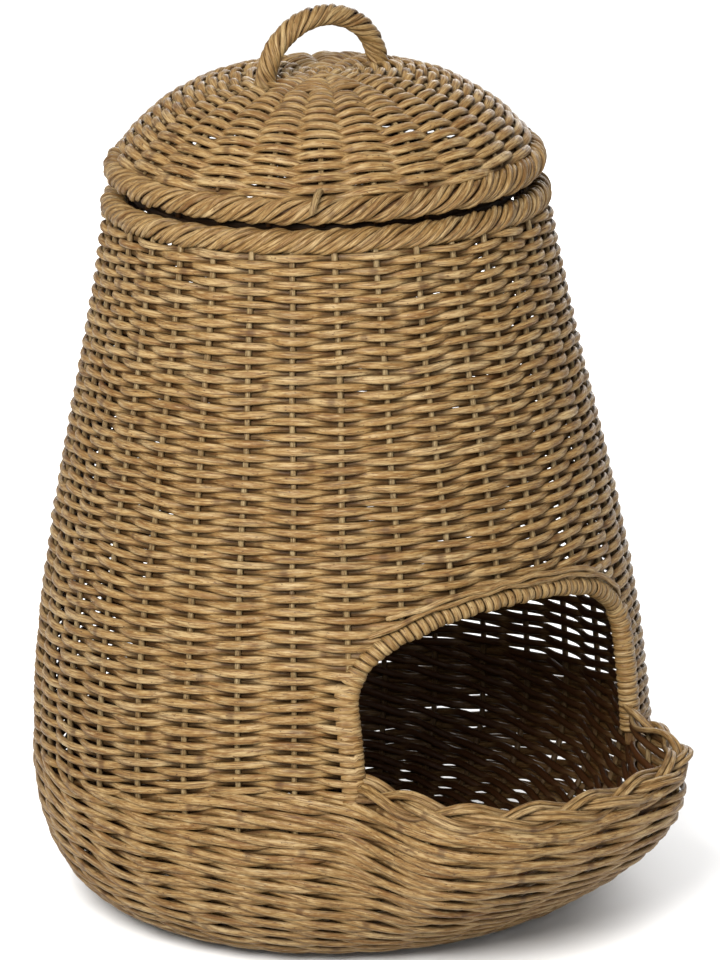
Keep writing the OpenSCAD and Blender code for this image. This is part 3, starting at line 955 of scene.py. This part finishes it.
def rope_ring(name, body, node, ring_radius, height, rope_radius, turns):
    """Three strands of three canes each, twisted round a ring, with a core between them painted dark as
    shade in the grooves; the canes get painted shade on their sides towards the core.
    """
    samples = turns * 18
    angle = 180 + np.arange(samples) * 360 / samples
    centre = polar(ring_radius, angle, height)
    away = polar(1, angle, 0)
    piece = Piece()
    for strand in range(3):
        shift = 0.07 * wobble(angle, 360, 20, 0)
        for place, reach in ROPE_PLACES:
            loose = 0.05 * wobble(angle, 360, 30, 0)
            turn = np.radians(angle) * turns + strand * 2 * np.pi / 3 + place + shift + loose
            radius = rope_radius * reach * (1 + 0.03 * wobble(angle, 360, 40, 0))
            radial = np.cos(turn)[:, None] * away + np.sin(turn)[:, None] * UP
            path = centre + radius[:, None] * radial
            size = random.uniform(0.94, 1.08) * (1 + 0.06 * wobble(angle, 360, 40, 0))
            # painted shade on each cane's side towards the rope's middle
            piece.sweep(path, radial, ROPE_CANE * size, ROPE_CANE * 0.9, 0, 0.9, True)
    # the core is painted nearly black, as shade deep in the grooves
    piece.sweep(centre, away, rope_radius * 0.5, rope_radius * 0.5, 0.9, 0, True)
    piece.build(name, body, "ropes", rope_cane, node)


rope_ring("rim_rope_canes", "basket", "rim_rope", RIM_RING_RADIUS, RIM_HEIGHT, RIM_ROPE_RADIUS + 0.0005, 15)
rope_ring("lid_rope_canes", "lid", "lid_rope", LID_RING_RADIUS, LID_HEIGHT, LID_ROPE_RADIUS + 0.0007, 14)

# ---------- lid ----------

LID_CANE = 0.0022  # half the depth of a lid weaver
LID_WAVE = 0.0037
LID_FIRST = 0.0060
LID_LAST = 0.1480
LID_PITCH = 0.00453
LID_FOURS = 0.024  # weavers pass over four spokes at a time within this radius
LID_PAIRS = 0.056  # and over two within this one
SPOKE_RADIUS = 0.0021
TAIL_RADIUS = 0.0022
LID_SLATH_THICKNESS = 0.0052
LOOSE_ANGLE = -37.5  # of a spoke whose end comes out over the lid's rope


def dome(r):
    return DOME_HEIGHT - DOME_EDGE_DROP * (r / DOME_EDGE_RADIUS) ** DOME_POWER


def dome_frame(angle, r):
    """A point in the middle of the lid's weave, with the directions out of it and down the dome."""
    fall = (dome(r + 0.001) - dome(r - 0.001)) / 0.002
    out = unit(polar(-fall, angle, np.ones_like(r)))
    down = unit(polar(np.ones_like(r), angle, fall))
    return polar(r, angle, dome(r)) - out * LID_THICKNESS / 2, out, down


def lid_radii():
    """Radii of the lid's rows, evenly spaced down the dome."""
    r = np.linspace(LID_FIRST, LID_LAST, 400)
    run = np.concatenate([[0], np.cumsum(np.hypot(np.diff(r), np.diff(dome(r))))])
    return np.interp(np.linspace(0, run[-1], int(run[-1] / LID_PITCH) + 1), run, r)


def lid_row(piece, row, radius):
    group = 4 if radius < LID_FOURS else 2 if radius < LID_PAIRS else 1
    x = np.arange(0, SPOKES, 1 / ROW_SAMPLES) + SPOKES / 2
    sign = 1 if row % 2 else -1
    swing = sign * over_under((x - (group - 1) / 2) / group) * (1 + 0.06 * wobble(x, SPOKES, 30, 0))
    wave = LID_WAVE * (0.55 + 0.45 * smooth(0.01, 0.06, radius))
    share = radius / LID_LAST
    r = radius + 0.0006 * min(1, radius / 0.06) * lid_wander(x / SPOKES, share)
    point, out, down = dome_frame((x + 0.5) * SPOKE_STEP, r)
    path = point + (wave * swing)[:, None] * out
    size = (1 + 0.05 * lid_swell(x / SPOKES, share)) * random.uniform(0.95, 1.04)
    tall = WEAVER_TALL * (0.97 + 0.18 * smooth(0.065, 0.12, radius)) * size * spread_over(swing)
    # painted shade where the weaver passes behind a spoke
    behind = BEHIND_SHADE * smooth(0.0, -1.0, swing)
    # painted shade on the underside of the lid's weave
    piece.sweep(path, out, tall, LID_CANE, behind, INSIDE_SHADE, True)


def loose_end(piece):
    """The end of a spoke that comes out of the weave and lies over the lid's rope."""
    turn = np.linspace(130, 2, 12)
    angle = LOOSE_ANGLE + np.linspace(0.6, -2.4, 12)
    reach = LID_ROPE_RADIUS + 0.0040
    over_rope = polar(LID_RING_RADIUS + reach * cosd(turn), angle, LID_HEIGHT + reach * sind(turn))
    start = dome_frame(LOOSE_ANGLE, np.array([0.130, 0.136]))[0]
    path = np.concatenate([start, over_rope])
    out = unit(path - polar(LID_RING_RADIUS, LOOSE_ANGLE, LID_HEIGHT))
    # painted shade on the end's side towards the rope
    piece.sweep(path, out, 0.0026, 0.0023, 0, 0.3)


lid_rows = Piece()
lid_wander = wandering(12, 3)
lid_swell = wandering(24, 12)
for row, radius in enumerate(lid_radii()):
    lid_row(lid_rows, row, radius)
lid_rows.build("lid_row_canes", "lid", "weavers", weaver_cane, "lid_weave")

spokes = Piece()
for index in range(SPOKES):
    r = np.linspace(0.007, LID_LAST, 40)
    angle = (index + 0.5) * SPOKE_STEP + 1.2 * smooth(0.06, 0.015, r) * (1 if index % 2 else -1)
    point, out, down = dome_frame(angle, r)
    # painted shade on the spoke's underside
    spokes.sweep(point, out, SPOKE_RADIUS, SPOKE_RADIUS, 0.1, INSIDE_SHADE)
loose_end(spokes)
spokes.build("lid_spoke_canes", "lid", "stakes", stake_cane, "lid_spokes")

tails = Piece()
tail_foot, tail_top = (corner.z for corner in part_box("lid_spoke_tails"))
tail_ring = half("lid_spoke_tails", 1) - 0.0024
for index in range(SPOKES):
    angle = (index + 0.5) * SPOKE_STEP
    dip = tail_ring * sind(LID_LEAN) * cosd(angle - LID_LOW_SIDE)
    point = polar(tail_ring - 0.0006, angle, np.linspace(tail_foot + dip + 0.0008, tail_top, 6))
    # the tails are painted nearly black as shade, because they stand in the dark gap between the ropes
    tails.sweep(point, unit(point * FLAT), TAIL_RADIUS, TAIL_RADIUS, 0.95, 0.05, ends=0.9)
tails.build("lid_spoke_tail_canes", "lid", "stakes", stake_cane, "lid_spoke_tails")

# two nearly black rings inside the gap between the lid's rope and the rim's rope: painted shadow that fills
# the gap
gap_shade_rings = Piece()
around = np.linspace(0, 360, 240, endpoint=False) + 180
for level in (-0.0005, 0.0045):
    sway = 0.0004 * wobble(around, 360, 12, 0)
    ring = polar(tail_ring - 0.0055, around, tail_foot + level + sway)
    gap_shade_rings.sweep(ring, unit(ring * FLAT), 0.0029, 0.0015, 0, 0, True)
gap_shade_rings.build("lid_gap_shade_rings", "lid", "stakes", shadow_cane, "lid_spoke_tails")


def slath(name, body, node, material, thickness):
    """Two crossing layers of sticks, each a cane of its own."""
    low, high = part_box(node)
    radius = thickness / 4
    piece = Piece()
    for layer in (0, 1):
        across = 1 - layer
        reach = (high[layer] - low[layer]) / 2
        width = (high[across] - low[across]) / 2 - radius
        count = int(round(width / radius)) + 1
        for offset in np.linspace(-width, width, count):
            line = np.zeros((8, 3))
            line[:, layer] = np.linspace(-reach, reach, 8)
            line[:, across] = offset
            line[:, 2] = low.z + radius * (1 + 2 * layer)
            piece.sweep(line, UP, radius * 0.97, radius * 0.95, 0.1, 0)
    piece.build(name, body, "sticks", material, node)


slath("lid_slath_canes", "lid", "lid_slath", stake_cane, LID_SLATH_THICKNESS)
slath("base_slath_canes", "basket", "base_slath", stick_cane, WEAVE_THICKNESS - 0.001)

# ---------- handle ----------

HANDLE_CANES = 7
HANDLE_TURN = 0.046  # length in which a cane goes once round the handle
HANDLE_CANE_TALL = 0.0024
HANDLE_CANE_DEEP = 0.0017


def handle_line(count):
    """Middle of the handle: two straight feet and an arch between them."""
    turn = np.radians(np.linspace(180, 0, 121))
    height = HANDLE_SPRING_HEIGHT + (HANDLE_TOP_HEIGHT - HANDLE_SPRING_HEIGHT) * np.sin(turn)
    line = np.stack([HANDLE_HALF_SPAN * np.cos(turn), 0 * turn, height], -1)
    feet = np.linspace(HANDLE_FOOT_HEIGHT, HANDLE_SPRING_HEIGHT, 8)[:-1]
    left = np.stack([np.full(7, -HANDLE_HALF_SPAN), np.zeros(7), feet], -1)
    right = left[::-1] * [-1, 1, 1]
    return even(np.concatenate([left, line, right]), count)


handle = handle_line(240)
handle_out = np.broadcast_to([0.0, -1.0, 0.0], handle.shape)
core, grip = Piece(), Piece()
core.sweep(handle, handle_out, HANDLE_CORE_RADIUS, HANDLE_CORE_RADIUS)
core.build("handle_core_cane", "lid", "sticks", stick_cane, "handle_core")
run = run_along(handle)
front, lower = line_frame(handle, handle_out)
spread_feet = 0.005 * smooth(0.022, 0.0, np.minimum(run, run[-1] - run))
for cane in range(HANDLE_CANES):
    turn = 2 * np.pi * (run / HANDLE_TURN + cane / HANDLE_CANES) + 0.10 * wobble(run, run[-1], 9, 0)
    radius = HANDLE_RADIUS - 0.0022 + spread_feet
    radius = radius * (1 + 0.03 * wobble(run, run[-1], 9, 0))
    radial = np.cos(turn)[:, None] * front - np.sin(turn)[:, None] * lower
    size = random.uniform(0.90, 1.1) * (1 + 0.08 * wobble(run, run[-1], 9, 0))
    path = handle + radius[:, None] * radial
    # painted shade on each cane's side towards the core, as shade in the grooves
    grip.sweep(path, radial, HANDLE_CANE_TALL * size, HANDLE_CANE_DEEP, 0.0, 0.9)
grip.build("handle_wrap_canes", "lid", "wrapping", wrap_cane, "handle_wrap")

# ---------- base ----------

BASE_FIRST = 0.036
BASE_PITCH = 0.0051
BASE_PAIRS = 0.075  # weavers pass over two sticks at a time within this radius
BASE_WAVE = 0.0038

base_rows = Piece()
for row, radius in enumerate(np.arange(BASE_FIRST, BASE_RADIUS + 0.001, BASE_PITCH)):
    x = np.arange(0, STAKES, 1 / 6)
    phase = (x - 0.5) / 2 if radius < BASE_PAIRS else x
    sign = 1 if row % 2 else -1
    swing = sign * over_under(phase)
    r = radius + 0.0004 * wobble(x, STAKES, 14, 0.2)
    point = polar(r, stake_angle(x), HALF_WEAVE + BASE_WAVE * swing)
    # painted shade where a weaver passes up behind the sticks, away from the underside
    base_rows.sweep(point, UP, WEAVER_TALL, 0.0021, 0.2 * smooth(-0.3, 0.8, swing), 0, True)
base_rows.build("base_row_canes", "basket", "weavers", weaver_cane, "base_weave")

sticks = Piece()
for index in range(STAKES):
    point = polar(np.linspace(0.028, BASE_RADIUS - 0.002, 12), stake_angle(index), HALF_WEAVE)
    sticks.sweep(point, UP, 0.0022, 0.0022, 0.1)
sticks.build("base_stick_canes", "basket", "sticks", stick_cane, "base_sticks")

# ---------- stage, light and camera ----------

bpy.ops.mesh.primitive_plane_add(size=12)
floor = bpy.context.object
floor.name = "floor"
paper = bpy.data.materials.new("paper")
paper.use_nodes = True
paper_nodes, paper_links = paper.node_tree.nodes, paper.node_tree.links
paper_place = paper_nodes.new("ShaderNodeTexCoord")
from_basket = paper_nodes.new("ShaderNodeVectorMath")
from_basket.operation = "LENGTH"
paper_shade = paper_nodes.new("ShaderNodeMapRange")  # painted shade: the paper is a little greyer near the basket, which also throws less light back onto it
for label, value in (("From Min", 0.3), ("From Max", 0.9), ("To Min", 0.72), ("To Max", 0.95)):
    paper_shade.inputs[label].default_value = value
paper_links.new(paper_place.outputs["Object"], from_basket.inputs[0])
paper_links.new(from_basket.outputs["Value"], paper_shade.inputs["Value"])
paper_links.new(paper_shade.outputs["Result"], paper_nodes["Principled BSDF"].inputs["Base Color"])
paper_nodes["Principled BSDF"].inputs["Roughness"].default_value = 0.9
floor.data.materials.append(paper)

world = bpy.data.worlds.new("studio")
bpy.context.scene.world = world
world.use_nodes = True
world.node_tree.nodes["Background"].inputs["Color"].default_value = (1, 1, 1, 1)
world.node_tree.nodes["Background"].inputs["Strength"].default_value = 1.0

VIEW_ANGLE = 36.5  # the camera stands to the left of the doorway
VIEW_TILT = 15.3
VIEW_ROLL = 1.62
VIEW_DISTANCE = 3.6
VIEW_HEIGHT = 0.3041
VIEW_ASIDE = 0.0184
FOCAL_LENGTH = 187.3
right = Vector((cosd(VIEW_ANGLE), -sind(VIEW_ANGLE), 0))
towards = Vector((-sind(VIEW_ANGLE), -cosd(VIEW_ANGLE), 0))


def area_light(name, aside, near, height, size, power, colour=(1, 1, 1)):
    """A soft light turned towards the basket; aside and near are measured along the camera's directions."""
    data = bpy.data.lights.new(name, "AREA")
    data.shape, data.size, data.energy, data.color = "DISK", size, power, colour
    lamp = bpy.data.objects.new(name, data)
    lamp.location = right * aside + towards * near + Vector((0, 0, height))
    aim = Vector((0, 0, VIEW_HEIGHT)) - lamp.location
    lamp.rotation_euler = aim.to_track_quat("-Z", "Y").to_euler()
    bpy.context.scene.collection.objects.link(lamp)


area_light("key", -0.55, 2.1, 1.6, 1.1, 143, (1, 0.98, 0.95))
area_light("top", 0, 0.2, 3.0, 2.5, 20)
area_light("back", 0.5, -2.3, 1.1, 1.8, 50)

lens = bpy.data.cameras.new("camera")
lens.lens = FOCAL_LENGTH
camera = bpy.data.objects.new("camera", lens)
bpy.context.scene.collection.objects.link(camera)
target = right * VIEW_ASIDE + Vector((0, 0, VIEW_HEIGHT))
tilt, roll = np.radians(VIEW_TILT), np.radians(VIEW_ROLL)
back = towards * np.cos(tilt) + Vector((0, 0, np.sin(tilt)))
level_up = back.cross(right)
camera_right = right * np.cos(roll) - level_up * np.sin(roll)
camera_up = level_up * np.cos(roll) + right * np.sin(roll)
place = Matrix((camera_right, camera_up, back)).transposed().to_4x4()
place.translation = target + back * VIEW_DISTANCE
camera.matrix_world = place
bpy.context.scene.camera = camera
bpy.context.scene.view_settings.view_transform = "Standard"

bpy.context.view_layer.update()
